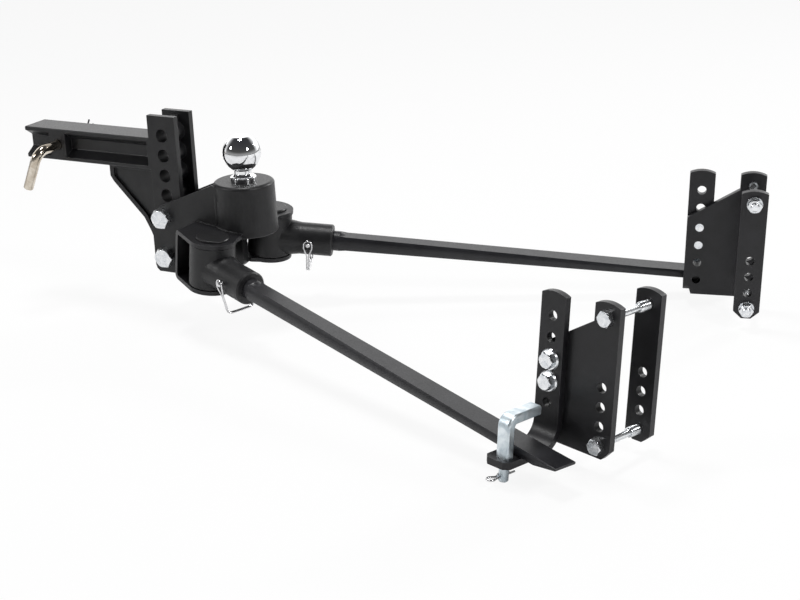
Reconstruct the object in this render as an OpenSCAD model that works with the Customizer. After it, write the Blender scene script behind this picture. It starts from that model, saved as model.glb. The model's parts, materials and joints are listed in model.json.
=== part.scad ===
// Weight distribution hitch: drop shank, ball mount head, two swinging spring bars
// and two clamp-on frame brackets, shown set up and at rest.
// Millimetres. Origin at the centre of the ball. +X points back to the trailer,
// +Y to the vehicle's right, +Z up.

/* [Shank] */
// Side of the square receiver bar
bar_side = 50.8; // [50:0.1:51]
// Length of the receiver bar ahead of the column
bar_length = 243; // [200:1:330]
// Bar's front end to the hitch pin hole
pin_from_end = 63.5; // [55:0.5:75]
// Distance from the ball's axis to the column's centre
column_offset = 128; // [115:1:140]
// Side of the square column
column_side = 50.8; // [50:0.1:51]
// Height of the column's topmost hole above the ball's centre
top_hole_z = 21.6; // [10:0.1:30]
// Distance between column holes
hole_pitch = 31.75; // [31.75:0.01:31.75]
// Number of column holes
hole_count = 7; // [5:1:11]

/* [Ball mount] */
// Diameter of the ball
ball_d = 58.74; // [50.8:0.01:58.74]
// Height of the ball's centre above the drum's top
ball_height = 43.2; // [38:0.1:60]
// Outer radius of the drum at its top
drum_r = 47; // [42:0.5:52]
// Height of the drum
drum_h = 80; // [70:1:95]
// Thickness of each cheek
cheek_t = 14; // [10:0.5:18]

/* [Trunnions] */
// Sideways distance from the ball's axis to each pin, at the yoke's top
pin_y = 83; // [78:0.5:90]
// Rearward lean of the pins' tops
pin_tilt = 6.5; // [0:0.5:10]
// Thickness of the yoke plate
yoke_t = 6.35; // [5:0.05:10]
// Outer height of the yoke along its pin
yoke_h = 79.5; // [70:0.5:90]
// Radius of the trunnion pin
trunnion_r = 15.85; // [12:0.05:18]

/* [Spring bars] */
// Angle of each bar out from the centre line
bar_swing = 23; // [15:1:30]
// Radius of the round end of the bar
rod_r = 15.875; // [14:0.005:18]
// Distance from the pin to the tip of the bar
bar_reach = 757; // [650:1:800]
// Width of the blade
blade_w = 35; // [30:0.5:40]
// Thickness of the blade
blade_t = 12.5; // [10:0.5:18]

/* [Brackets] */
// Angle of each bracket out from the centre line
rail_angle = 17.6; // [15:0.1:27]
// Rearward lean of each bracket's top
bracket_pitch = 2.4; // [0:0.1:8]
// Inboard lean of each bracket's top
bracket_roll = 3.6; // [0:0.1:6]
// Clear width between the clamp plates
rail_gap = 71.5; // [50:0.5:80]
// Thickness of every bracket plate
plate_t = 9.5; // [6:0.5:12]
// Width of the bracket strips
strip_w = 38.1; // [32:0.1:50]
// Distance between the top and bottom clamp bolts
bolt_span = 165.1; // [120:0.1:180]

/* [Hidden] */
$fn = 96;

// Shank
column_x = -column_offset;
bar_mid_z = -9;
bar_front_x = column_x - column_side / 2 - bar_length;
pin_x = bar_front_x + pin_from_end;
column_top_z = top_hole_z + 31;
column_bottom_z = top_hole_z - (hole_count - 1) * hole_pitch - 23;
flange_t = 10;
web_t = 10;
column_hole_r = 10.3;
pin_hole_r = 8.35;

// Hitch pin
hitch_pin_r = 7.94;
pin_bend_r = 18;
pin_leg_y = -75.4;
pin_leg_l = 66;
pin_leg_angle = 24;
pin_far_y = 52;
pin_clip_y = 46;

// Head
drum_top_z = -ball_height;
drum_bottom_z = drum_top_z - drum_h;
drum_draft = 1.5;
cheek_in = column_side / 2 + 0.3;
cheek_out = cheek_in + cheek_t;
upper_bolt_z = top_hole_z - 4 * hole_pitch;
lower_bolt_z = top_hole_z - 6 * hole_pitch;
head_bolt_r = 9.5;
ball_shank_r = 15.875;
nut_pocket_r = 33;
nut_pocket_h = 40;
pocket_roof_z = drum_bottom_z + nut_pocket_h;
ball_washer_t = 6;
ball_nut_h = 24;

// Trunnions: yoke top at the pin, then depths down the pin
yoke_x = -8;
yoke_z = -112;
nose_r = 36;
yoke_back = 67;
barrel_r = 34.5;
washer_t = 1.5;
washer_gap = 0.05;
barrel_top = yoke_t + washer_t + 2 * washer_gap;
barrel_bottom = yoke_h - barrel_top;
arm_depth = 46;

// Socket and bar
tube_r = 25.4;
tube_end = 102;
rod_start = 38;
lock_at = 65;
lock_r = 4;
lock_head_y = 31;
bail_wire_r = 1.25;
bail_gap = 1.6;

// Brackets: origin on the outer face of the clamp plate, at the top clamp bolt
bracket_x = 705.6;
bracket_y = -308.2;
bracket_z = -64.7;
hanger_u = -75;
hanger_pitch = 28.575;
hanger_top_hole = -14.5;
hanger_top = 16.7;
clamp_top = 20;
shelf_z = -178.9;
shelf_end = -102;
hanger_bend_r = 25;
keeper_u = hanger_u + 3;
keeper_n = -87.4;
keeper_w = 19.05;
keeper_t = 12.7;
keeper_end = -35;
keeper_top_z = -122.5;
bracket_hole_r = 6.75;
clamp_bolt_r = 6.3;

function unit(v) = v / norm(v);
function arc(c, r, a0, a1, steps) =
    [for (i = [0 : steps]) let (a = a0 + (a1 - a0) * i / steps) c + r * [cos(a), sin(a)]];

// Left parts are drawn once, and the right ones are their mirror images
module on_side(side) {
    if (side == "right") mirror([0, 1, 0]) children();
    else children();
}

// Frame of a leaning pin: z runs along it, and z = 0 is the yoke's top
module at_trunnion() {
    translate([yoke_x, -pin_y, yoke_z]) rotate([0, pin_tilt, 0]) children();
}

// Frame of an arm: x runs along the bar from the pin
module at_arm() {
    at_trunnion() translate([0, 0, -arm_depth]) rotate([0, 0, -bar_swing]) children();
}

// Frame of a bracket: x runs back along the rail, y inboard, z up along the plates
module at_bracket() {
    translate([bracket_x, bracket_y, bracket_z]) rotate([0, 0, -rail_angle])
        rotate([0, bracket_pitch, 0]) rotate([-bracket_roll, 0, 0]) children();
}

// Rod along +Y from y0 to y1
module rod_y(r, y0, y1) {
    translate([0, y0, 0]) rotate([-90, 0, 0]) cylinder(r = r, h = y1 - y0);
}

// Rod along +X from x0 to x1
module rod_x(r, x0, x1) {
    translate([x0, 0, 0]) rotate([0, 90, 0]) cylinder(r = r, h = x1 - x0);
}

// Flat outline in x and z, given thickness from y0 to y1
module plate_y(y0, y1) {
    translate([0, y1, 0]) rotate([90, 0, 0]) linear_extrude(height = y1 - y0) children();
}

// Outline in y and z, given length along +X
module bar_x(x0, x1) {
    translate([x0, 0, 0]) rotate([90, 0, 90]) linear_extrude(height = x1 - x0) children();
}

// Six-sided head or nut along +Z with its free corners turned off
module hex_head(across_flats, h) {
    corner_r = across_flats / 2 / cos(30);
    intersection() {
        cylinder(r = corner_r, h = h, $fn = 6);
        union() {
            cylinder(r = corner_r + 1, h = h * 0.8);
            translate([0, 0, h * 0.8 - 0.01])
                cylinder(r1 = corner_r + 0.4, r2 = across_flats / 2 - 0.3, h = h * 0.2 + 0.01);
        }
    }
}

// Flat ring along +Z
module ring(r_out, r_in, h) {
    difference() {
        cylinder(r = r_out, h = h);
        translate([0, 0, -1]) cylinder(r = r_in, h = h + 2);
    }
}

// Round wire swept along a list of points
module wire(path, r) {
    sides = 12;
    last = len(path) - 1;
    tangent = [for (i = [0 : last]) unit(path[min(i + 1, last)] - path[max(i - 1, 0)])];
    seed = abs(tangent[0][2]) < 0.9 ? [0, 0, 1] : [0, 1, 0];
    normal = carry(tangent, [unit(seed - tangent[0] * (seed * tangent[0]))], 1);
    rings = [for (i = [0 : last], k = [0 : sides - 1])
        path[i] + r * (cos(360 * k / sides) * normal[i]
            + sin(360 * k / sides) * cross(tangent[i], normal[i]))];
    walls = [for (i = [0 : last - 1], k = [0 : sides - 1]) let (n = (k + 1) % sides)
        [i * sides + k, (i + 1) * sides + k, (i + 1) * sides + n, i * sides + n]];
    start = [[for (k = [0 : sides - 1]) k]];
    end = [[for (k = [sides - 1 : -1 : 0]) last * sides + k]];
    polyhedron(points = rings, faces = concat(start, walls, end));
}
function carry(tangent, done, i) = i >= len(tangent) ? done :
    carry(tangent, concat(done,
        [unit(done[i - 1] - tangent[i] * (done[i - 1] * tangent[i]))]), i + 1);

// ---------------------------------------------------------------- shank

// Forged I section: thin flange edges thickening towards the web
module bar_outline() {
    half = bar_side / 2;
    corner = half - 1.2;
    upper_right = [[10, 8.5], [11.5, 10.5], [half, 19.6], [half, corner], [corner, half]];
    lower_right = [for (i = [4 : -1 : 0]) [upper_right[i][0], -upper_right[i][1]]];
    upper_left = [for (i = [4 : -1 : 0]) [-upper_right[i][0], upper_right[i][1]]];
    lower_left = [for (p = upper_right) -p];
    polygon(concat(lower_right, upper_right, upper_left, lower_left));
}

module gusset_outline() {
    polygon([[-246, -30], [-246, -56], [-240, -65], [-187, -119], [-176, -140],
        [-166, -164], [column_x, -180], [column_x, -30]]);
}

module gusset_panel() {
    polygon([[-238, -42], [-238, -56], [-182, -113], [-170, -136], [-162, -152], [-162, -42]]);
}

module shank() color("dimgray") {
    half = column_side / 2;
    difference() {
        union() {
            translate([0, 0, bar_mid_z]) bar_x(bar_front_x, column_x) bar_outline();
            translate([pin_x - 15.5, -bar_side / 2, bar_mid_z - 20])
                cube([31, bar_side, 40]);
            translate([column_x - half - 4.5, -bar_side / 2, bar_mid_z - 22])
                cube([6, bar_side, 44]);
            for (side = [-1, 1])
                translate([column_x - half, side > 0 ? half - flange_t : -half, column_bottom_z])
                    cube([column_side, flange_t, column_top_z - column_bottom_z]);
            translate([column_x - web_t / 2, -half + 1, column_bottom_z])
                cube([web_t, column_side - 2, column_top_z - column_bottom_z - 6]);
            for (k = [0 : hole_count - 1])
                translate([column_x, 0, top_hole_z - k * hole_pitch])
                    rod_y(15.4, -half + 1, half - 1);
            plate_y(-10, 10) gusset_outline();
        }
        for (side = [-1, 1])
            plate_y(side > 0 ? 5.5 : -11, side > 0 ? 11 : -5.5) gusset_panel();
        for (k = [0 : hole_count - 1])
            translate([column_x, 0, top_hole_z - k * hole_pitch])
                rod_y(column_hole_r, -half - 1, half + 1);
        translate([pin_x, 0, bar_mid_z]) rod_y(pin_hole_r, -half - 1, half + 1);
    }
}

module hitch_pin() color("silver") {
    translate([pin_x, 0, bar_mid_z]) rotate([0, pin_leg_angle, 0]) difference() {
        union() {
            rod_y(hitch_pin_r, pin_leg_y + pin_bend_r, pin_far_y - 3);
            translate([0, pin_far_y - 3, 0]) rotate([-90, 0, 0])
                cylinder(r1 = hitch_pin_r, r2 = hitch_pin_r - 2.5, h = 3);
            translate([0, pin_leg_y + pin_bend_r, -pin_bend_r]) rotate([90, 0, 90])
                rotate_extrude(angle = 90, start = 90) translate([pin_bend_r, 0]) circle(r = hitch_pin_r);
            translate([0, pin_leg_y, -pin_leg_l]) cylinder(r = hitch_pin_r, h = pin_leg_l - pin_bend_r);
            translate([0, pin_leg_y, -pin_leg_l - 1.5])
                cylinder(r1 = hitch_pin_r - 1.5, r2 = hitch_pin_r, h = 1.5);
        }
        translate([0, pin_clip_y, -10]) cylinder(r = 1.9, h = 20);
    }
}

// Spring clip in the plane across a pin: straight leg, round loop, and a leg over the pin
function clip_path(pin_r, wire_r, leg, loop_r) =
    let (out = pin_r + wire_r + 0.15)
    concat([[0, -leg]], [[0, pin_r + 8]],
        arc([-loop_r * 0.75, pin_r + 8 + loop_r], loop_r, -35, 205, 12),
        [[-out * 0.55, pin_r + 5]],
        arc([0, 0], out, 125, 235, 8),
        [[-out * 0.45, -pin_r - 3.5], [-out * 0.55, -pin_r - 8], [-out, -leg + 3]]);

module spring_clip(pin_r, wire_r, leg, loop_r) {
    wire([for (p = clip_path(pin_r, wire_r, leg, loop_r)) [p[0], 0, p[1]]], wire_r);
}

module hitch_pin_clip() color("gainsboro") {
    translate([pin_x, pin_clip_y, bar_mid_z]) rotate([0, pin_leg_angle + 180, 0])
        spring_clip(hitch_pin_r, 1.7, 28, 7);
}

// ---------------------------------------------------------------- ball mount

module cheek_outline() {
    polygon([[-150, -106], [-148.5, -98], [-145, -94], [-139.5, -90], [-33, -44.6],
        [-20, -52], [-20, drum_bottom_z], [-38, drum_bottom_z], [-28, -142],
        [-28, -189], [-33, -194.4], [-143, -194.4], [-148, -190], [-150, -184]]);
}

module ball_mount_head() color("dimgray") {
    fillet = 5.5;
    difference() {
        union() {
            translate([0, 0, drum_bottom_z]) rotate_extrude() union() {
                polygon([[0, 0], [drum_r + drum_draft - 1.5, 0], [drum_r + drum_draft, 1.5],
                    [drum_r, drum_h - fillet], [0, drum_h - fillet]]);
                translate([0, drum_h / 2]) square([drum_r - fillet, drum_h / 2]);
                translate([drum_r - fillet, drum_h - fillet]) circle(r = fillet);
            }
            for (side = [-1, 1])
                plate_y(side > 0 ? cheek_in : -cheek_out, side > 0 ? cheek_out : -cheek_in)
                    cheek_outline();
            translate([-96, -cheek_in - 1, -190]) cube([12, 2 * cheek_in + 2, 110]);
            translate([-96, -cheek_in - 1, drum_bottom_z]) cube([70, 2 * cheek_in + 2, 14]);
            translate([-90, -6, -185]) cube([62, 12, 110]);
        }
        translate([0, 0, drum_bottom_z - 1]) cylinder(r = nut_pocket_r, h = nut_pocket_h + 1);
        translate([0, 0, drum_bottom_z - 1]) cylinder(r = ball_shank_r + 0.3, h = drum_h + 2);
        for (z = [upper_bolt_z, lower_bolt_z])
            translate([column_x, 0, z]) rod_y(head_bolt_r + 0.4, -cheek_out - 1, cheek_out + 1);
    }
}

module hitch_ball() color("lightgray") {
    ball_r = ball_d / 2;
    flange_top = drum_top_z + 8.5;
    shank_end = pocket_roof_z - ball_washer_t - ball_nut_h - 5;
    intersection() {
        sphere(r = ball_r, $fn = 128);
        translate([0, 0, -ball_r - 1]) cylinder(r = ball_r + 1, h = ball_r + 1 + 26.6);
    }
    translate([0, 0, flange_top - 1]) cylinder(r = 13.5, h = -20 - flange_top);
    translate([0, 0, drum_top_z]) cylinder(r = 20, h = 6);
    translate([0, 0, drum_top_z + 6]) cylinder(r1 = 20, r2 = 18, h = 1.5);
    translate([0, 0, drum_top_z + 7.5]) cylinder(r1 = 16.5, r2 = 13.5, h = 4);
    translate([0, 0, drum_top_z + 7.4]) cylinder(r = 18, h = 0.1);
    translate([0, 0, shank_end + 1.5]) cylinder(r = ball_shank_r, h = drum_top_z - shank_end);
    translate([0, 0, shank_end]) cylinder(r1 = ball_shank_r - 1.5, r2 = ball_shank_r, h = 1.5);
}

module ball_lock_washer() color("silver") {
    translate([0, 0, pocket_roof_z - ball_washer_t]) ring(25, 16.2, ball_washer_t);
}

module ball_nut() color("silver") {
    translate([0, 0, pocket_roof_z - ball_washer_t]) mirror([0, 0, 1]) difference() {
        hex_head(47.6, ball_nut_h);
        translate([0, 0, -1]) cylinder(r = ball_shank_r + 0.05, h = ball_nut_h + 2);
    }
}

head_washer_t = 3.2;
head_nut_h = 16.3;

module head_bolts() color("gainsboro") {
    for (z = [upper_bolt_z, lower_bolt_z]) translate([column_x, 0, z]) {
        translate([0, -cheek_out, 0]) rotate([90, 0, 0]) hex_head(28.6, 11.9);
        rod_y(head_bolt_r, -cheek_out - 1, cheek_out + head_washer_t + head_nut_h + 3.5);
        translate([0, cheek_out + head_washer_t + head_nut_h + 3.5, 0]) rotate([-90, 0, 0])
            cylinder(r1 = head_bolt_r, r2 = head_bolt_r - 1.5, h = 1.5);
    }
}

module head_washers() color("gainsboro") {
    for (z = [upper_bolt_z, lower_bolt_z])
        translate([column_x, cheek_out, z]) rotate([-90, 0, 0]) ring(18.5, 9.9, head_washer_t);
}

module head_nuts() color("gainsboro") {
    for (z = [upper_bolt_z, lower_bolt_z])
        translate([column_x, cheek_out + head_washer_t, z]) rotate([-90, 0, 0]) difference() {
            hex_head(28.6, head_nut_h);
            translate([0, 0, -1]) cylinder(r = head_bolt_r + 0.05, h = head_nut_h + 2);
        }
}

// ---------------------------------------------------------------- trunnions

// Bent plate seen from the side: flat back, top and bottom leaves
module yoke_profile() {
    outer = 9;
    inner = outer - yoke_t;
    difference() {
        union() {
            translate([-yoke_back + outer, -yoke_h]) square([yoke_back + 50 - outer, yoke_h]);
            translate([-yoke_back, -yoke_h + outer]) square([outer + 1, yoke_h - 2 * outer]);
            translate([-yoke_back + outer, -yoke_h + outer]) circle(r = outer);
            translate([-yoke_back + outer, -outer]) circle(r = outer);
        }
        translate([-yoke_back + outer, -yoke_h + yoke_t]) square([200, yoke_h - 2 * yoke_t]);
        translate([-yoke_back + yoke_t, -yoke_h + outer]) square([50, yoke_h - 2 * outer]);
        translate([-yoke_back + outer, -yoke_h + outer]) circle(r = inner);
        translate([-yoke_back + outer, -outer]) circle(r = inner);
    }
}

// Plan of a leaf: round nose at the pin, straight sides back to the bend
module leaf_outline(inboard) {
    reach = sqrt(yoke_back * yoke_back - nose_r * nose_r);
    lean = asin(nose_r / yoke_back);
    circle(r = nose_r);
    polygon(concat([[-yoke_back, 0], [-yoke_back + reach * cos(lean), -reach * sin(lean)],
        [0, 0], [nose_r * cos(32), nose_r * sin(32)]], inboard, [[-yoke_back, 60]]));
}

module yoke(side) color("dimgray") {
    on_side(side) difference() {
        at_trunnion() difference() {
            intersection() {
                plate_y(-nose_r - 1, 60) yoke_profile();
                union() {
                    translate([0, 0, -20]) linear_extrude(height = 21)
                        leaf_outline([[29.5, 32], [24, 60]]);
                    translate([0, 0, -yoke_h - 1]) linear_extrude(height = yoke_h - 18)
                        leaf_outline([[-6, 43], [-8, 60]]);
                }
            }
            translate([0, 0, -yoke_h - 1]) cylinder(r = trunnion_r + 0.1, h = yoke_h + 2);
        }
        translate([0, 0, drum_bottom_z]) cylinder(r1 = drum_r + drum_draft + 0.05, r2 = drum_r + 0.02,
            h = drum_h);
        translate([0, 0, drum_bottom_z - 60]) cylinder(r = drum_r + drum_draft + 0.05, h = 61);
        translate([-200, -cheek_out - 0.02, -300]) cube([400, 100, 400]);
    }
}

module trunnion_pin(side) color("gray") {
    on_side(side) at_trunnion() {
        cylinder(r = 25.5, h = 2);
        translate([0, 0, 2]) cylinder(r1 = 25.5, r2 = 24, h = 1.5);
        translate([0, 0, -yoke_h - 1]) cylinder(r = trunnion_r, h = yoke_h + 1.5);
        translate([0, 0, -yoke_h - 2.5]) cylinder(r1 = trunnion_r - 1.5, r2 = trunnion_r, h = 1.5);
    }
}

module thrust_washers(side) color("goldenrod") {
    on_side(side) at_trunnion() {
        for (z = [-yoke_t - washer_gap - washer_t, -yoke_h + yoke_t + washer_gap])
            translate([0, 0, z]) ring(30, trunnion_r + 0.25, washer_t);
    }
}

module socket(side) color("dimgray") {
    on_side(side) difference() {
        union() {
            at_trunnion() translate([0, 0, -barrel_bottom])
                cylinder(r = barrel_r, h = barrel_bottom - barrel_top);
            at_arm() {
                rod_x(tube_r, 0, tube_end - 2);
                translate([tube_end - 2, 0, 0]) rotate([0, 90, 0])
                    cylinder(r1 = tube_r, r2 = tube_r - 2, h = 2);
            }
            intersection() {
                at_arm() translate([14, 0, 0]) rotate([0, 90, 0])
                    cylinder(r1 = 31, r2 = tube_r, h = 36);
                at_trunnion() translate([-60, -80, -barrel_bottom])
                    cube([160, 140, barrel_bottom - barrel_top]);
            }
        }
        at_trunnion() translate([0, 0, -yoke_h]) cylinder(r = trunnion_r + 0.06, h = yoke_h);
        at_arm() {
            rod_x(rod_r + 0.1, rod_start - 1.5, tube_end + 1);
            translate([lock_at, 0, 0]) rod_y(lock_r + 0.1, -tube_r - 5, tube_r + 5);
        }
    }
}

// Lock pin: flip is -1 for a tip outboard and 1 for a tip inboard
module lock_pin(side, flip) color("gainsboro") {
    on_side(side) at_arm() translate([lock_at, 0, 0]) scale_y(flip) difference() {
        union() {
            rod_y(lock_r, -lock_head_y + 4, tube_r + 6.4);
            translate([0, tube_r + 6.4, 0]) rotate([-90, 0, 0])
                cylinder(r1 = lock_r, r2 = lock_r - 1.6, h = 1.6);
            rod_y(6.5, -lock_head_y - 4, -lock_head_y + 4);
        }
        translate([0, -lock_head_y, 0]) rod_x(bail_wire_r + 0.1, -10, 10);
    }
}

module scale_y(flip) {
    if (flip < 0) mirror([0, 1, 0]) children();
    else children();
}

// Half of the bail, from its end in the pin's head to the top of the loop over the tip
bail_half_path = [
    [3, -lock_head_y, 0], [8, -lock_head_y, 0], [9.4, -lock_head_y - 0.5, -1.6],
    [8.8, -lock_head_y - 1, -6], [6.6, -lock_head_y - 1, -20], [3.4, -lock_head_y - 1, -34],
    [bail_gap, -lock_head_y, -43], [bail_gap, -lock_head_y + 3, -47], [bail_gap, -20, -48.2],
    [bail_gap, 2, -50], [bail_gap, 10, -49.6], [bail_gap, 14.5, -46], [bail_gap, 19, -34],
    [bail_gap + 0.1, 23.4, -22], [3.4, 26.4, -14.5], [6, 29.2, -7.5], [6.6, 30.6, -1.5],
    [5.9, 31, 3], [3.4, 31, 5.8], [0, 31, 6.7]
];

// Curve through every point of a path
function smooth(p, steps) =
    let (last = len(p) - 1)
    concat([for (i = [0 : last - 1], k = [0 : steps - 1])
        let (t = k / steps, a = p[max(i - 1, 0)], b = p[i], c = p[i + 1], d = p[min(i + 2, last)])
        b + (c - a) * t / 2 + (2 * a - 5 * b + 4 * c - d) * t * t / 2
            + (3 * b - a - 3 * c + d) * t * t * t / 2], [p[last]]);

module lock_bail(side, flip) color("white") {
    last = len(bail_half_path) - 1;
    other = [for (i = [last - 1 : -1 : 0])
        [-bail_half_path[i][0], bail_half_path[i][1], bail_half_path[i][2]]];
    on_side(side) at_arm() translate([lock_at, 0, 0]) scale_y(flip)
        wire(smooth(concat(bail_half_path, other), 2), bail_wire_r);
}

// ---------------------------------------------------------------- spring bar

// Cross sections: [distance from the pin, width, thickness, bulge of each side]
bar_sections = [
    [112, 31.2, 25, 3.6], [124, 31.2, 22.6, 4.2], [300, 32.5, 19.2, 3.4],
    [450, 34, 15.8, 2.4], [590, blade_w, blade_t, 1.6], [bar_reach - 38, blade_w, blade_t, 1.6],
    [bar_reach, blade_w, 3.5, 0.7]
];

function bar_ring(s) =
    let (w = s[1] / 2, h = s[2] / 2, b = s[3], steps = 6,
        r = (h * h + b * b) / (2 * b), half_angle = asin(min(1, h / r)))
    concat(
        [for (i = [0 : steps]) let (a = -half_angle + 2 * half_angle * i / steps)
            [s[0], w - r + r * cos(a), r * sin(a)]],
        [for (i = [0 : steps]) let (a = 180 - half_angle + 2 * half_angle * i / steps)
            [s[0], -w + r + r * cos(a), r * sin(a)]]);

// The tip is ramped underneath, so its section sits high
function tip_lift(s) = s[0] == bar_reach ? (blade_t - s[2]) / 2 : 0;

module bar_body() {
    per = len(bar_ring(bar_sections[0]));
    last = len(bar_sections) - 1;
    points = [for (s = bar_sections, p = bar_ring(s)) p + [0, 0, tip_lift(s)]];
    walls = [for (i = [0 : last - 1], k = [0 : per - 1]) let (n = (k + 1) % per)
        each [[i * per + k, (i + 1) * per + k, (i + 1) * per + n],
            [i * per + k, (i + 1) * per + n, i * per + n]]];
    start = [[for (k = [0 : per - 1]) k]];
    end = [[for (k = [per - 1 : -1 : 0]) last * per + k]];
    polyhedron(points = points, faces = concat(start, walls, end));
}

module spring_bar(side) color("slategray") {
    on_side(side) at_arm() difference() {
        union() {
            rod_x(rod_r, rod_start + 2, 113);
            translate([rod_start, 0, 0]) rotate([0, 90, 0])
                cylinder(r1 = rod_r - 2, r2 = rod_r, h = 2);
            translate([113, 0, 0]) rotate([0, 90, 0]) cylinder(r1 = rod_r, r2 = 9.5, h = 14);
            bar_body();
        }
        translate([lock_at, 0, 0]) rod_y(lock_r + 0.15, -30, 30);
    }
}

// ---------------------------------------------------------------- brackets

// Strip end with a shallow arched top: its highest point is at the given z
module arched_top(top) {
    w = strip_w / 2;
    rise = 4.5;
    arch_r = (w * w + rise * rise) / (2 * rise);
    intersection() {
        translate([0, top - arch_r]) circle(r = arch_r);
        translate([-w, top - rise - 6]) square([strip_w, rise + 8]);
    }
}

// Strip with an arched top above a bolt, bottom corners cut
module strip_outline(top, bottom) {
    w = strip_w / 2;
    arched_top(top);
    polygon([[-w, top - 7], [-w, bottom + 11], [-w + 12, bottom], [w - 12, bottom],
        [w, bottom + 11], [w, top - 7]]);
}

module hanger(side) color("dimgray") {
    w = strip_w / 2;
    outer_r = hanger_bend_r + plate_t;
    bend_z = shelf_z + hanger_bend_r;
    bend_n = -plate_t - hanger_bend_r;
    on_side(side) at_bracket() translate([hanger_u, 0, 0]) difference() {
        union() {
            plate_y(-plate_t, 0) union() {
                arched_top(hanger_top);
                translate([-w, bend_z]) square([strip_w, hanger_top - 7 - bend_z]);
            }
            translate([-w, bend_n, bend_z]) rotate([90, 0, 90]) rotate_extrude(angle = 90, start = 270)
                translate([hanger_bend_r, 0]) square([plate_t, strip_w]);
            translate([0, 0, shelf_z - plate_t]) linear_extrude(height = plate_t)
                polygon([[-w, bend_n], [-w, shelf_end + 7], [-w + 7, shelf_end],
                    [w - 7, shelf_end], [w, shelf_end + 7], [w, bend_n]]);
        }
        for (k = [0 : 4])
            translate([0, 0, hanger_top_hole - k * hanger_pitch])
                rod_y(bracket_hole_r, -plate_t - 1, 1);
        translate([keeper_u - hanger_u, keeper_n, shelf_z - plate_t - 1])
            cylinder(r = 6.5, h = plate_t + 2);
    }
}

module clamp_plate(side) color("dimgray") {
    w = strip_w / 2;
    front = hanger_u - w;
    bottom = -bolt_span - 16;
    on_side(side) at_bracket() difference() {
        plate_y(0, plate_t) union() {
            arched_top(clamp_top);
            polygon([[-w, clamp_top - 7], [-w, -8], [front, -56], [front, bottom + 36],
                [front + 12, bottom], [w - 12, bottom], [w, bottom + 13], [w, clamp_top - 7]]);
        }
        for (z = [0, -bolt_span]) translate([0, 0, z]) rod_y(bracket_hole_r, -1, plate_t + 1);
        for (k = [0 : 2])
            translate([0, 0, -88.9 - 25.4 * k]) rod_y(bracket_hole_r, -1, plate_t + 1);
        for (k = [2 : 5])
            translate([hanger_u, 0, hanger_top_hole - k * hanger_pitch])
                rod_y(clamp_bolt_r + 0.05, -1, plate_t + 1);
    }
}

module backing_plate(side) color("dimgray") {
    on_side(side) at_bracket() difference() {
        plate_y(plate_t + rail_gap, 2 * plate_t + rail_gap)
            strip_outline(clamp_top, -bolt_span - 16);
        for (z = [0, -bolt_span, -88.9, -114.3, -139.7])
            translate([0, 0, z]) rod_y(bracket_hole_r, plate_t, 3 * plate_t + rail_gap);
    }
}

module clamp_bolts(side) color("gainsboro") {
    far = 2 * plate_t + rail_gap;
    on_side(side) at_bracket() for (z = [0, -bolt_span]) translate([0, 0, z]) {
        rotate([90, 0, 0]) hex_head(19, 8.1);
        rod_y(clamp_bolt_r, -1, plate_t + 2);
        rod_y(4.9, plate_t, far);
        rod_y(clamp_bolt_r, far - plate_t - 19, far + 14);
        translate([0, far + 14, 0]) rotate([-90, 0, 0])
            cylinder(r1 = clamp_bolt_r, r2 = clamp_bolt_r - 1.2, h = 1.2);
    }
}

module clamp_nuts(side) color("gainsboro") {
    far = 2 * plate_t + rail_gap;
    on_side(side) at_bracket() for (z = [0, -bolt_span])
        translate([0, far, z]) rotate([-90, 0, 0]) difference() {
            union() {
                cylinder(r = 11.5, h = 1.6);
                hex_head(19, 11.5);
            }
            translate([0, 0, -1]) cylinder(r = clamp_bolt_r + 0.05, h = 14);
        }
}

module hanger_bolts(side) color("gainsboro") {
    on_side(side) at_bracket() for (k = [2, 3])
        translate([hanger_u, -plate_t, hanger_top_hole - k * hanger_pitch]) {
            rotate([90, 0, 0]) cylinder(r1 = 14, r2 = 12.6, h = 2.6);
            rotate([90, 0, 0]) hex_head(19, 9.5);
            rod_y(clamp_bolt_r, -1, 2 * plate_t - 0.3);
        }
}

// Cross section of the keeper: x along the rail, y through its thickness
module keeper_section() {
    r = 3;
    square([keeper_w - 2 * r, keeper_t], center = true);
    square([keeper_w, keeper_t - 2 * r], center = true);
    for (x = [-1, 1], y = [-1, 1])
        translate([x * (keeper_w / 2 - r), y * (keeper_t / 2 - r)]) circle(r = r);
}

// Bent bar hooked over the blade, with a round foot through the shelf
module keeper(side) color("lightsteelblue") {
    foot_z = shelf_z - plate_t - 22;
    bend_r = 9.65;
    base = shelf_z + 0.05;
    bend_z = keeper_top_z - keeper_t / 2 - bend_r;
    on_side(side) at_bracket() translate([keeper_u, keeper_n, 0]) difference() {
        union() {
            translate([0, 0, base]) linear_extrude(height = bend_z - base) keeper_section();
            translate([0, bend_r, bend_z]) rotate([90, 0, -90]) rotate_extrude(angle = 90)
                translate([bend_r, 0]) rotate([0, 0, 90]) keeper_section();
            translate([0, bend_r, bend_z + bend_r]) rotate([-90, 0, 0])
                linear_extrude(height = keeper_end - keeper_n - bend_r) keeper_section();
            translate([0, 0, foot_z + 1.5]) cylinder(r = 6.3, h = shelf_z - foot_z);
            translate([0, 0, foot_z]) cylinder(r1 = 5, r2 = 6.3, h = 1.5);
        }
        translate([0, 0, foot_z + 7]) rod_y(1.6, -10, 10);
    }
}

module keeper_clip(side) color("gainsboro") {
    foot_z = shelf_z - plate_t - 22;
    on_side(side) at_bracket() translate([keeper_u, keeper_n, foot_z + 7])
        rotate([90, 0, 0]) spring_clip(6.3, 1.4, 20, 5);
}

// ---------------------------------------------------------------- nodes

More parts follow.
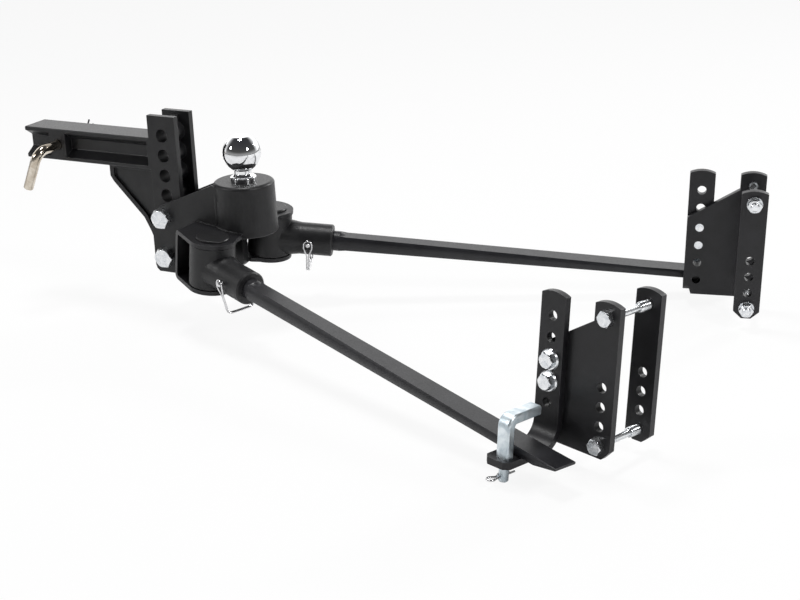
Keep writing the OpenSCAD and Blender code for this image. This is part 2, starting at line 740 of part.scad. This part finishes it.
shank();
hitch_pin();
hitch_pin_clip();
ball_mount_head();
hitch_ball();
ball_lock_washer();
ball_nut();
head_bolts();
head_washers();
head_nuts();
yoke("left");  // left_yoke
yoke("right");  // right_yoke
trunnion_pin("left");  // left_trunnion_pin
trunnion_pin("right");  // right_trunnion_pin
thrust_washers("left");  // left_thrust_washers
thrust_washers("right");  // right_thrust_washers
socket("left");  // left_socket
socket("right");  // right_socket
lock_pin("left", -1);  // left_lock_pin
lock_pin("right", 1);  // right_lock_pin
lock_bail("left", -1);  // left_lock_bail
lock_bail("right", 1);  // right_lock_bail
spring_bar("left");  // left_spring_bar
spring_bar("right");  // right_spring_bar
hanger("left");  // left_hanger
hanger("right");  // right_hanger
clamp_plate("left");  // left_clamp_plate
clamp_plate("right");  // right_clamp_plate
backing_plate("left");  // left_backing_plate
backing_plate("right");  // right_backing_plate
clamp_bolts("left");  // left_clamp_bolts
clamp_bolts("right");  // right_clamp_bolts
clamp_nuts("left");  // left_clamp_nuts
clamp_nuts("right");  // right_clamp_nuts
hanger_bolts("left");  // left_hanger_bolts
hanger_bolts("right");  // right_hanger_bolts
keeper("left");  // left_keeper
keeper("right");  // right_keeper
keeper_clip("left");  // left_keeper_clip
keeper_clip("right");  // right_keeper_clip
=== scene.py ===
"""Looks, light and camera for the weight distribution hitch."""
import json
import math

import bmesh
import bpy
from mathutils import Matrix, Vector


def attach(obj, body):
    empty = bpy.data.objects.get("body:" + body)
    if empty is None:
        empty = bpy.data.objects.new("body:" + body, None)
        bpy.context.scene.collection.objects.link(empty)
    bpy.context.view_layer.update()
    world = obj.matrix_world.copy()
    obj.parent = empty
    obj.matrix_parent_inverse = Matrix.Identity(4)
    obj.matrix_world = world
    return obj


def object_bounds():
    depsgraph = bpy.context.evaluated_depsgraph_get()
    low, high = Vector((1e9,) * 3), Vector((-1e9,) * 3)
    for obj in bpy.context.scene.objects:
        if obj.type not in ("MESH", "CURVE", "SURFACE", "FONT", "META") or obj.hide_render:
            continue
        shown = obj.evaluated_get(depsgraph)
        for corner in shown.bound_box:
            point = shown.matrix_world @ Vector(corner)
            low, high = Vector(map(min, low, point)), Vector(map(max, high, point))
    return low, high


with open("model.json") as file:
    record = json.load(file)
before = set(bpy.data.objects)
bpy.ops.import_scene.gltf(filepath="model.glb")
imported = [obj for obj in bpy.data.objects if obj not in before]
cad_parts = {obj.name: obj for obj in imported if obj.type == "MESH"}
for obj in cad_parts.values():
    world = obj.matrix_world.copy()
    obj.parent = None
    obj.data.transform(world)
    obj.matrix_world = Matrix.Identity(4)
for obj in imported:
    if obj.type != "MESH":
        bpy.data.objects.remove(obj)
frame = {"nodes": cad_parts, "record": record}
start_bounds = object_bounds()
MM = 0.001
# Lighter edge colour and its width: partly rubbed wear, partly a painted highlight where edges catch the
# light
EDGE_WEAR_AND_HIGHLIGHT = (0.07, 0.07, 0.074)
EDGE_WEAR_AND_HIGHLIGHT_WIDTH = 1.1 * MM
scene = bpy.context.scene

# ------------------------------------------------------------------ materials


def new_material(name):
    """An empty node material with its output and principled shader."""
    mat = bpy.data.materials.new(name)
    mat.use_nodes = True
    tree = mat.node_tree
    tree.nodes.clear()
    out = tree.nodes.new("ShaderNodeOutputMaterial")
    shader = tree.nodes.new("ShaderNodeBsdfPrincipled")
    tree.links.new(shader.outputs["BSDF"], out.inputs["Surface"])
    return mat, tree, shader


def object_coords(tree):
    """Object coordinates, in metres, for every procedural texture."""
    return tree.nodes.new("ShaderNodeTexCoord").outputs["Object"]


def noise(tree, vector, scale, detail=3.0, rough=0.55, distortion=0.0):
    """Noise value between 0 and 1; scale is in cycles a metre."""
    node = tree.nodes.new("ShaderNodeTexNoise")
    node.inputs["Scale"].default_value = scale
    node.inputs["Detail"].default_value = detail
    node.inputs["Roughness"].default_value = rough
    node.inputs["Distortion"].default_value = distortion
    tree.links.new(vector, node.inputs["Vector"])
    return node.outputs["Fac"]


def spread(tree, value, low_in, high_in, low_out, high_out):
    """Maps one range of a value onto another, clamped."""
    node = tree.nodes.new("ShaderNodeMapRange")
    node.inputs["From Min"].default_value = low_in
    node.inputs["From Max"].default_value = high_in
    node.inputs["To Min"].default_value = low_out
    node.inputs["To Max"].default_value = high_out
    tree.links.new(value, node.inputs["Value"])
    return node.outputs["Result"]


def two_tone(tree, factor, first, second):
    """A colour between two fixed ones, by a factor."""
    node = tree.nodes.new("ShaderNodeMix")
    node.data_type = "RGBA"
    node.inputs["A"].default_value = (*first, 1)
    node.inputs["B"].default_value = (*second, 1)
    tree.links.new(factor, node.inputs["Factor"])
    return node.outputs["Result"]


def tinted(tree, factor, colour, tint):
    """A colour pulled towards a fixed tint, by a factor."""
    node = tree.nodes.new("ShaderNodeMix")
    node.data_type = "RGBA"
    node.inputs["B"].default_value = (*tint, 1)
    tree.links.new(factor, node.inputs["Factor"])
    tree.links.new(colour, node.inputs["A"])
    return node.outputs["Result"]


def product(tree, first, second):
    """Two values multiplied."""
    node = tree.nodes.new("ShaderNodeMath")
    node.operation = "MULTIPLY"
    tree.links.new(first, node.inputs[0])
    tree.links.new(second, node.inputs[1])
    return node.outputs["Value"]


def dot_product(tree, first):
    """A node for the dot product of a vector with its second input."""
    node = tree.nodes.new("ShaderNodeVectorMath")
    node.operation = "DOT_PRODUCT"
    tree.links.new(first, node.inputs[0])
    return node


def bump(tree, shader, heights):
    """Chains (height, strength, distance in metres) into the shader's normal."""
    normal = None
    for height, strength, distance in heights:
        node = tree.nodes.new("ShaderNodeBump")
        node.inputs["Strength"].default_value = strength
        node.inputs["Distance"].default_value = distance
        tree.links.new(height, node.inputs["Height"])
        if normal is not None:
            tree.links.new(normal, node.inputs["Normal"])
        normal = node.outputs["Normal"]
    tree.links.new(normal, shader.inputs["Normal"])


def edge_wear_and_highlight(tree, vector):
    """Mask for lighter edges, partly rubbed wear and partly painted edge highlight: 1 on convex and concave
    edges, fading to 0 on flat faces, broken up by noise.
    """
    rounded = tree.nodes.new("ShaderNodeBevel")
    rounded.samples = 4
    rounded.inputs["Radius"].default_value = EDGE_WEAR_AND_HIGHLIGHT_WIDTH
    surface = tree.nodes.new("ShaderNodeNewGeometry")
    agreement = dot_product(tree, rounded.outputs["Normal"])
    tree.links.new(surface.outputs["Normal"], agreement.inputs[1])
    edge = spread(tree, agreement.outputs["Value"], 0.99, 0.86, 0, 1)
    broken = spread(tree, noise(tree, vector, 160, 4, 0.6), 0.35, 0.62, 0.25, 1)
    return product(tree, edge, broken)


def painted(name, dark, light, rough, grain, lumps):
    """Black powder coat: a fine grain, an orange peel and slow lumps from the metal under it, with lighter
    edges that are partly rubbed wear and partly painted highlight.
    """
    mat, tree, shader = new_material(name)
    vector = object_coords(tree)
    cloud = noise(tree, vector, 45, 4)
    fine = noise(tree, vector, 1400, 2, 0.6)
    peel = noise(tree, vector, 420, 3)
    slow = noise(tree, vector, 110, 4, 0.6)
    coat = two_tone(tree, spread(tree, cloud, 0.3, 0.7, 0, 1), dark, light)
    # Edges pulled lighter: partly rubbed wear, partly painted edge highlight
    colour = tinted(tree, edge_wear_and_highlight(tree, vector), coat, EDGE_WEAR_AND_HIGHLIGHT)
    tree.links.new(colour, shader.inputs["Base Color"])
    tree.links.new(spread(tree, peel, 0.3, 0.7, rough - 0.07, rough + 0.08), shader.inputs["Roughness"])
    shader.inputs["Specular IOR Level"].default_value = 0.42
    bump(tree, shader, [(slow, lumps, 0.6 * MM), (peel, 0.5 * grain, 0.25 * MM), (fine, grain, 0.12 * MM)])
    return mat


def plated(name, first, second, rough, patch_scale, grain, rough_spread=0.06):
    """Bright plated steel with cloudy tone and roughness."""
    mat, tree, shader = new_material(name)
    vector = object_coords(tree)
    patches = noise(tree, vector, patch_scale, 4, 0.6, 0.6)
    fine = noise(tree, vector, 900, 3)
    colour = two_tone(tree, spread(tree, patches, 0.35, 0.65, 0, 1), first, second)
    tree.links.new(colour, shader.inputs["Base Color"])
    shader.inputs["Metallic"].default_value = 1.0
    tree.links.new(spread(tree, patches, 0.3, 0.7, rough + rough_spread, rough - rough_spread),
                   shader.inputs["Roughness"])
    bump(tree, shader, [(fine, grain, 0.08 * MM)])
    return mat


def chrome():
    """Mirror chrome with the faintest polishing haze."""
    mat, tree, shader = new_material("ball_chrome")
    vector = object_coords(tree)
    haze = noise(tree, vector, 60, 3)
    colour = two_tone(tree, spread(tree, haze, 0.3, 0.7, 0, 1), (0.80, 0.81, 0.83), (0.88, 0.89, 0.90))
    tree.links.new(colour, shader.inputs["Base Color"])
    shader.inputs["Metallic"].default_value = 1.0
    tree.links.new(spread(tree, haze, 0.3, 0.7, 0.02, 0.05), shader.inputs["Roughness"])
    bump(tree, shader, [(noise(tree, vector, 300, 2), 0.02, 0.05 * MM)])
    return mat


# Painted: darkest and lightest colour, roughness, strength of the grain and of the lumps.
# Plated: two colours, roughness, scale of the patches, strength of the grain, spread of roughness.
MATERIALS = {
    "forged_black": painted("forged_black", (0.007, 0.007, 0.008), (0.015, 0.015, 0.016), 0.40, 0.34, 0.28),
    "cast_black": painted("cast_black", (0.007, 0.007, 0.008), (0.014, 0.014, 0.015), 0.42, 0.45, 0.45),
    "plate_black": painted("plate_black", (0.008, 0.008, 0.009), (0.013, 0.0125, 0.015), 0.40, 0.22, 0.06),
    "pin_black": painted("pin_black", (0.008, 0.008, 0.009), (0.015, 0.015, 0.016), 0.38, 0.20, 0.10),
    "bar_black": painted("bar_black", (0.010, 0.010, 0.012), (0.018, 0.018, 0.021), 0.36, 0.26, 0.12),
    "plain_steel": plated("plain_steel", (0.38, 0.38, 0.39), (0.48, 0.48, 0.48), 0.38, 90, 0.3),
    "ball_chrome": chrome(),
    "nickel_plate": plated("nickel_plate", (0.50, 0.43, 0.34), (0.78, 0.72, 0.63), 0.13, 55, 0.12),
    "bright_zinc": plated("bright_zinc", (0.70, 0.73, 0.76), (0.90, 0.91, 0.92), 0.26, 150, 0.3),
    "bright_wire": plated("bright_wire", (0.66, 0.66, 0.67), (0.80, 0.80, 0.81), 0.22, 200, 0.1),
    "keeper_zinc": plated("keeper_zinc", (0.56, 0.64, 0.69), (0.82, 0.88, 0.91), 0.42, 60, 0.35, 0.12),
}

# ------------------------------------------------------------------ CAD nodes

SLOT_OF = {s["node"]: s["material_slot"] for s in frame["record"]["subparts"]}
# Edge rounding of each kind of piece, in millimetres; the wires and the receiver pin have none
ROUNDING = {
    "shank": 1.6, "ball_mount_head": 2.2, "hitch_ball": 0.4, "ball_nut": 0.6, "ball_lock_washer": 0.5,
    "head_bolts": 0.7, "head_washers": 0.4, "head_nuts": 0.6, "yoke": 0.8, "trunnion_pin": 0.6,
    "thrust_washers": 0.3, "socket": 1.8, "lock_pin": 0.4, "spring_bar": 1.2, "hanger": 0.8,
    "clamp_plate": 0.8, "backing_plate": 0.8, "clamp_bolts": 0.5, "clamp_nuts": 0.5,
    "hanger_bolts": 0.5, "keeper": 0.6,
}
SHARP_ANGLE = math.radians(32)
FLAT_ANGLE = math.radians(0.4)
SAME_POINT = 0.002 * MM


def plain_name(node):
    """The node's name without its side."""
    for side in ("left_", "right_"):
        if node.startswith(side):
            return node[len(side):]
    return node


def dress(obj, material, rounding_mm):
    """Gives a mesh its material, rounded edges and clean shading."""
    mesh = obj.data
    mesh.materials.clear()
    mesh.materials.append(material)
    normals = mesh.attributes.get("custom_normal")
    if normals is not None:
        mesh.attributes.remove(normals)
    mesh.polygons.foreach_set("use_smooth", [True] * len(mesh.polygons))
    weld = obj.modifiers.new("weld", "WELD")
    weld.merge_threshold = SAME_POINT
    if rounding_mm:
        flat = obj.modifiers.new("flat", "DECIMATE")
        flat.decimate_type = "DISSOLVE"
        flat.angle_limit = FLAT_ANGLE
        bevel = obj.modifiers.new("round", "BEVEL")
        bevel.width = rounding_mm * MM
        bevel.segments = 3
        bevel.limit_method = "ANGLE"
        bevel.angle_limit = SHARP_ANGLE
        bevel.miter_outer = "MITER_ARC"
        bevel.use_clamp_overlap = True
    flatten = obj.modifiers.new("shade", "WEIGHTED_NORMAL")
    flatten.mode = "FACE_AREA_WITH_ANGLE"
    flatten.weight = 60
    flatten.keep_sharp = True


for name, obj in frame["nodes"].items():
    dress(obj, MATERIALS[SLOT_OF[name]], ROUNDING.get(plain_name(name), 0))

# ------------------------------------------------------------------ detail pieces
# Millimetres, in the same frame as the CAD nodes; the left side's places, mirrored for the right

PIN_AT = Vector((-8, -83, -112))
PIN_TILT = math.radians(6.5)
YOKE_BACK = 67
YOKE_HEIGHT = 79.5
CHEEK_FACE = 39.7
CHEEK_FRONT = -28
DRUM_RADIUS = 48.2
DRUM_TOP = -43.2
DRUM_BOTTOM = -123.2
BRACKET_AT = Vector((705.6, -308.2, -64.7))
RAIL_ANGLE = math.radians(17.6)
BRACKET_PITCH = math.radians(2.4)
BRACKET_ROLL = math.radians(3.6)
BOLT_SPAN = 165.1
PLATE = 9.5
RAIL_GAP = 71.5
COLUMN_X = -128
HEAD_BOLT_HEIGHTS = (-105.4, -168.9)
HEAD_NUT_END = 59.2


def swept(name, path, radii, sides):
    """A closed tube through a path; radii gives the radius of every point of every ring."""
    verts, faces = [], []
    last = len(path) - 1
    across = (path[1] - path[0]).orthogonal().normalized()
    for i, centre in enumerate(path):
        along = (path[min(i + 1, last)] - path[max(i - 1, 0)]).normalized()
        across = (across - along * across.dot(along)).normalized()
        beside = along.cross(across)
        for k in range(sides):
            angle = 2 * math.pi * k / sides
            spoke = across * math.cos(angle) + beside * math.sin(angle)
            verts.append((centre + spoke * radii(i, k)) * MM)
    for i in range(last):
        for k in range(sides):
            n = (k + 1) % sides
            faces.append((i * sides + k, i * sides + n, (i + 1) * sides + n, (i + 1) * sides + k))
    faces.append(tuple(reversed(range(sides))))
    faces.append(tuple(last * sides + k for k in range(sides)))
    mesh = bpy.data.meshes.new(name)
    mesh.from_pydata([tuple(v) for v in verts], [], faces)
    mesh.polygons.foreach_set("use_smooth", [True] * len(mesh.polygons))
    obj = bpy.data.objects.new(name, mesh)
    scene.collection.objects.link(obj)
    return obj


def on_side(side, point):
    """The point itself for the left, its mirror image for the right."""
    return Vector((point[0], point[1] if side == "left" else -point[1], point[2]))


def evenly(path, step):
    """The same path with its points close to a step apart."""
    out = [path[0]]
    for a, b in zip(path, path[1:]):
        count = max(1, round((b - a).length / step))
        out += [a.lerp(b, (i + 1) / count) for i in range(count)]
    return out


def finished(piece, material, body):
    """Gives a detail piece its material and slot, and rides it on a body."""
    piece.data.materials.append(MATERIALS[material])
    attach(piece, body)


def eased(i, last, ahead, run):
    """A factor for point i of a path: ahead / run at either end, rising to 1 a run further in."""
    return min(1, (i + ahead) / run, (last - i + ahead) / run)


def weld_bead(name, path, radius):
    """Overlapping weld ripples along a seam on the hitch, half sunk into the corner."""
    ripple, ripple_fall = 2.4, 0.16
    wander_length, wander_size = 5.3, 0.06
    step = 0.4
    path = evenly(path, step)
    last = len(path) - 1

    def radii(i, k):
        fall = ripple_fall * ((i * step / ripple) % 1)
        wander = wander_size * math.sin(i * step / wander_length)
        return radius * eased(i, last, 1, 6) * (1 - fall + wander)

    finished(swept(name, path, radii, 12), "cast_black", "hitch")


def screw_thread(name, body, start, end, crest, pitch):
    """Rolled thread round a bolt's shank: one ridge that climbs a pitch a turn."""
    sides, per_pitch = 28, 8
    depth, steepness = 0.4, 2.6
    path = evenly([start, end], pitch / per_pitch)
    last = len(path) - 1

    def radii(i, k):
        phase = (i / per_pitch - k / sides) % 1
        ridge = max(0, 1 - steepness * abs(phase - 0.5))
        return crest - depth + depth * ridge * eased(i, last, 0, 4)

    finished(swept(name, path, radii, sides), "bright_zinc", body)


def bracket_point(side, back, inboard, up):
    """A place in the bracket's own directions: back along the rail, inboard, up."""
    turn = Matrix.Rotation(-RAIL_ANGLE, 3, "Z") @ Matrix.Rotation(BRACKET_PITCH, 3, "Y")
    turn = turn @ Matrix.Rotation(-BRACKET_ROLL, 3, "X")
    return on_side(side, BRACKET_AT + turn @ Vector((back, inboard, up)))


def leaf_point(side, x, y, depth):
    """A place on a yoke's leaf plane, at a depth down the leaning pin."""
    z = PIN_AT.z - (depth + math.sin(PIN_TILT) * (x - PIN_AT.x)) / math.cos(PIN_TILT)
    return on_side(side, (x, y, z))


def yoke_welds(side):
    """Beads where the yoke's leaves and back meet the cheek and the drum."""
    start_x = -66
    proud = 0.2
    from_corners = 10
    drum_from, drum_sweep, drum_steps = 125, 61, 16
    turns = [math.radians(drum_from - drum_sweep * i / drum_steps) for i in range(drum_steps + 1)]
    round_drum = [(DRUM_RADIUS * math.cos(a), -DRUM_RADIUS * math.sin(a)) for a in turns]
    along_cheek = [(start_x, -CHEEK_FACE), (CHEEK_FRONT, -CHEEK_FACE)]
    top = [leaf_point(side, x, y, -proud) for x, y in along_cheek + round_drum]
    weld_bead(f"{side}_yoke_weld_top", top, 2.6)
    low = [leaf_point(side, x, y, YOKE_HEIGHT + proud) for x, y in along_cheek]
    weld_bead(f"{side}_yoke_weld_low", low, 2.6)
    down = Vector((-math.sin(PIN_TILT), 0, -math.cos(PIN_TILT)))
    rearward = Vector((-math.cos(PIN_TILT), 0, math.sin(PIN_TILT)))
    back = []
    for depth in (from_corners, YOKE_HEIGHT - from_corners):
        place = PIN_AT + rearward * (YOKE_BACK + proud) + down * depth
        back.append(on_side(side, (place.x, -CHEEK_FACE, place.z)))
    weld_bead(f"{side}_yoke_weld_back", back, 2.8)


def cast_blend(side):
    """A soft run of metal where the drum's side flows into the cheek."""
    radius, proud = 6.0, 0.9
    below_top, above_bottom = 9, 13
    corner_x = 0.6 - math.sqrt(DRUM_RADIUS ** 2 - CHEEK_FACE ** 2)
    centre_y = -CHEEK_FACE + radius - proud
    heights = (DRUM_TOP - below_top, DRUM_BOTTOM + above_bottom)
    path = evenly([on_side(side, (corner_x, centre_y, z)) for z in heights], 2.0)
    last = len(path) - 1

    def radii(i, k):
        return radius * eased(i, last, 3, 6)

    finished(swept(f"{side}_cast_blend", path, radii, 32), "cast_black", "hitch")


def bracket_threads(side):
    """Threads of the two long clamp bolts, before the backing plate and past the nut."""
    crest, pitch = 6.72, 1.95
    inner_length, gap_to_plate = 19, 0.3
    nut_end, bolt_end = 11.4, 14
    plate_near = PLATE + RAIL_GAP
    plate_far = plate_near + PLATE
    spans = {
        "inner": (plate_near - inner_length, plate_near - gap_to_plate),
        "outer": (plate_far + nut_end, plate_far + bolt_end),
    }
    for place, height in (("top", 0), ("low", -BOLT_SPAN)):
        for part, span in spans.items():
            start, end = (bracket_point(side, 0, inboard, height) for inboard in span)
            screw_thread(f"{side}_thread_{place}_{part}", f"{side}_bracket", start, end, crest, pitch)


def head_threads():
    """The threaded ends of the two head bolts, past their nuts."""
    crest, pitch = 9.92, 2.3
    inside_nut, length = 0.3, 3.4
    for index, height in enumerate(HEAD_BOLT_HEIGHTS):
        start = Vector((COLUMN_X, HEAD_NUT_END - inside_nut, height))
        end = Vector((COLUMN_X, HEAD_NUT_END + length, height))
        screw_thread(f"head_bolt_thread_{index}", "hitch", start, end, crest, pitch)


for side in ("left", "right"):
    yoke_welds(side)
    cast_blend(side)
    bracket_threads(side)
head_threads()

# ------------------------------------------------------------------ stage, light and camera

CAMERA_AT = Vector((1.3509, -2.0285, 0.6266))
CAMERA_YAW = 0.4925
CAMERA_PITCH = 0.3462
CAMERA_ROLL = 0.042
LENS_MM = 73.86
SWEEP_LEVEL = 1.7


def look_matrix(at, yaw, pitch, roll):
    """Camera matrix from a heading left of +Y, a downward pitch and a roll, in radians."""
    forward = Vector((-math.sin(yaw) * math.cos(pitch), math.cos(yaw) * math.cos(pitch), -math.sin(pitch)))
    level_right = Vector((math.cos(yaw), math.sin(yaw), 0))
    level_up = -forward.cross(level_right)
    right = level_right * math.cos(roll) - level_up * math.sin(roll)
    up = level_up * math.cos(roll) + level_right * math.sin(roll)
    turn = Matrix((right, up, -forward)).transposed()
    return Matrix.Translation(at) @ turn.to_4x4()


camera_data = bpy.data.cameras.new("camera")
camera_data.lens = LENS_MM
camera_data.sensor_width = 36.0
camera_data.clip_end = 20
camera = bpy.data.objects.new("camera", camera_data)
scene.collection.objects.link(camera)
camera.matrix_world = look_matrix(CAMERA_AT, CAMERA_YAW, CAMERA_PITCH, CAMERA_ROLL)
scene.camera = camera


def studio_world():
    """White to the camera; for reflections, a dark room with a bright sweep behind the object."""
    world = bpy.data.worlds.new("studio")
    world.use_nodes = True
    tree = world.node_tree
    tree.nodes.clear()
    out = tree.nodes.new("ShaderNodeOutputWorld")
    path = tree.nodes.new("ShaderNodeLightPath")
    mix = tree.nodes.new("ShaderNodeMixShader")
    white = tree.nodes.new("ShaderNodeBackground")
    white.inputs["Color"].default_value = (1, 1, 1, 1)
    room = tree.nodes.new("ShaderNodeBackground")
    coords = tree.nodes.new("ShaderNodeTexCoord")
    split = tree.nodes.new("ShaderNodeSeparateXYZ")
    ramp = tree.nodes.new("ShaderNodeValToRGB")
    stops = ramp.color_ramp
    stops.elements[0].position = 0.0
    stops.elements[0].color = (0.5, 0.5, 0.5, 1)
    stops.elements[1].position = 1.0
    stops.elements[1].color = (0.04, 0.04, 0.045, 1)
    for position, level in ((0.47, 0.5), (0.54, 0.26), (0.64, 0.07)):
        stops.elements.new(position).color = (level, level, level, 1)
    tree.links.new(coords.outputs["Generated"], split.inputs["Vector"])
    tree.links.new(spread(tree, split.outputs["Z"], -1, 1, 0, 1), ramp.inputs["Fac"])
    facing = dot_product(tree, coords.outputs["Generated"])
    facing.inputs[1].default_value = (-math.sin(CAMERA_YAW), math.cos(CAMERA_YAW), 0)
    ahead = spread(tree, facing.outputs["Value"], 0.1, 0.7, 0, 1)
    low = spread(tree, split.outputs["Z"], 0.35, 0.8, 1, 0)
    behind = tinted(tree, product(tree, ahead, low), ramp.outputs["Color"], (SWEEP_LEVEL,) * 3)
    tree.links.new(behind, room.inputs["Color"])
    tree.links.new(path.outputs["Is Camera Ray"], mix.inputs["Fac"])
    tree.links.new(room.outputs["Background"], mix.inputs[1])
    tree.links.new(white.outputs["Background"], mix.inputs[2])
    tree.links.new(mix.outputs["Shader"], out.inputs["Surface"])
    scene.world = world


studio_world()


def area_light(name, at, target, width, height, watts):
    """A soft box at one place, turned to face another."""
    data = bpy.data.lights.new(name, "AREA")
    data.shape = "RECTANGLE"
    data.size = width
    data.size_y = height
    data.energy = watts
    light = bpy.data.objects.new(name, data)
    light.location = at
    light.rotation_euler = (Vector(target) - Vector(at)).to_track_quat("-Z", "Y").to_euler()
    scene.collection.objects.link(light)
    light.visible_camera = False


MIDDLE = (0.2, 0.0, -0.1)
area_light("top_box", (-0.3, 0.2, 2.4), MIDDLE, 0.6, 0.45, 36)
area_light("left_box", (-1.9, -1.9, 1.5), MIDDLE, 0.4, 0.5, 24)
area_light("right_box", (2.6, -0.7, 1.5), MIDDLE, 0.4, 0.5, 30)
area_light("back_box", (1.6, 2.4, 1.3), MIDDLE, 0.5, 0.5, 26)


def floor():
    """A pale floor just under the lowest point, seen almost white."""
    size = 30.0
    glow_share = 0.9
    level = start_bounds[0].z - 2 * MM
    mesh = bpy.data.meshes.new("floor")
    corners = [(-size, -size, level), (size, -size, level), (size, size, level), (-size, size, level)]
    mesh.from_pydata(corners, [], [(0, 1, 2, 3)])
    ground = bpy.data.objects.new("floor", mesh)
    scene.collection.objects.link(ground)
    mat, tree, shader = new_material("floor_pale")
    out = next(n for n in tree.nodes if n.type == "OUTPUT_MATERIAL")
    vector = object_coords(tree)
    tone = two_tone(tree, noise(tree, vector, 3, 2), (0.86, 0.86, 0.86), (0.88, 0.88, 0.88))
    tree.links.new(tone, shader.inputs["Base Color"])
    shader.inputs["Roughness"].default_value = 0.9
    path = tree.nodes.new("ShaderNodeLightPath")
    glow = tree.nodes.new("ShaderNodeEmission")
    glow.inputs["Strength"].default_value = 1.0
    share = tree.nodes.new("ShaderNodeMath")
    share.operation = "MULTIPLY"
    share.inputs[1].default_value = glow_share
    mix = tree.nodes.new("ShaderNodeMixShader")
    tree.links.new(path.outputs["Is Camera Ray"], share.inputs[0])
    tree.links.new(share.outputs["Value"], mix.inputs["Fac"])
    tree.links.new(shader.outputs["BSDF"], mix.inputs[1])
    tree.links.new(glow.outputs["Emission"], mix.inputs[2])
    tree.links.new(mix.outputs["Shader"], out.inputs["Surface"])
    mesh.materials.append(mat)


floor()
scene.view_settings.view_transform = "Standard"
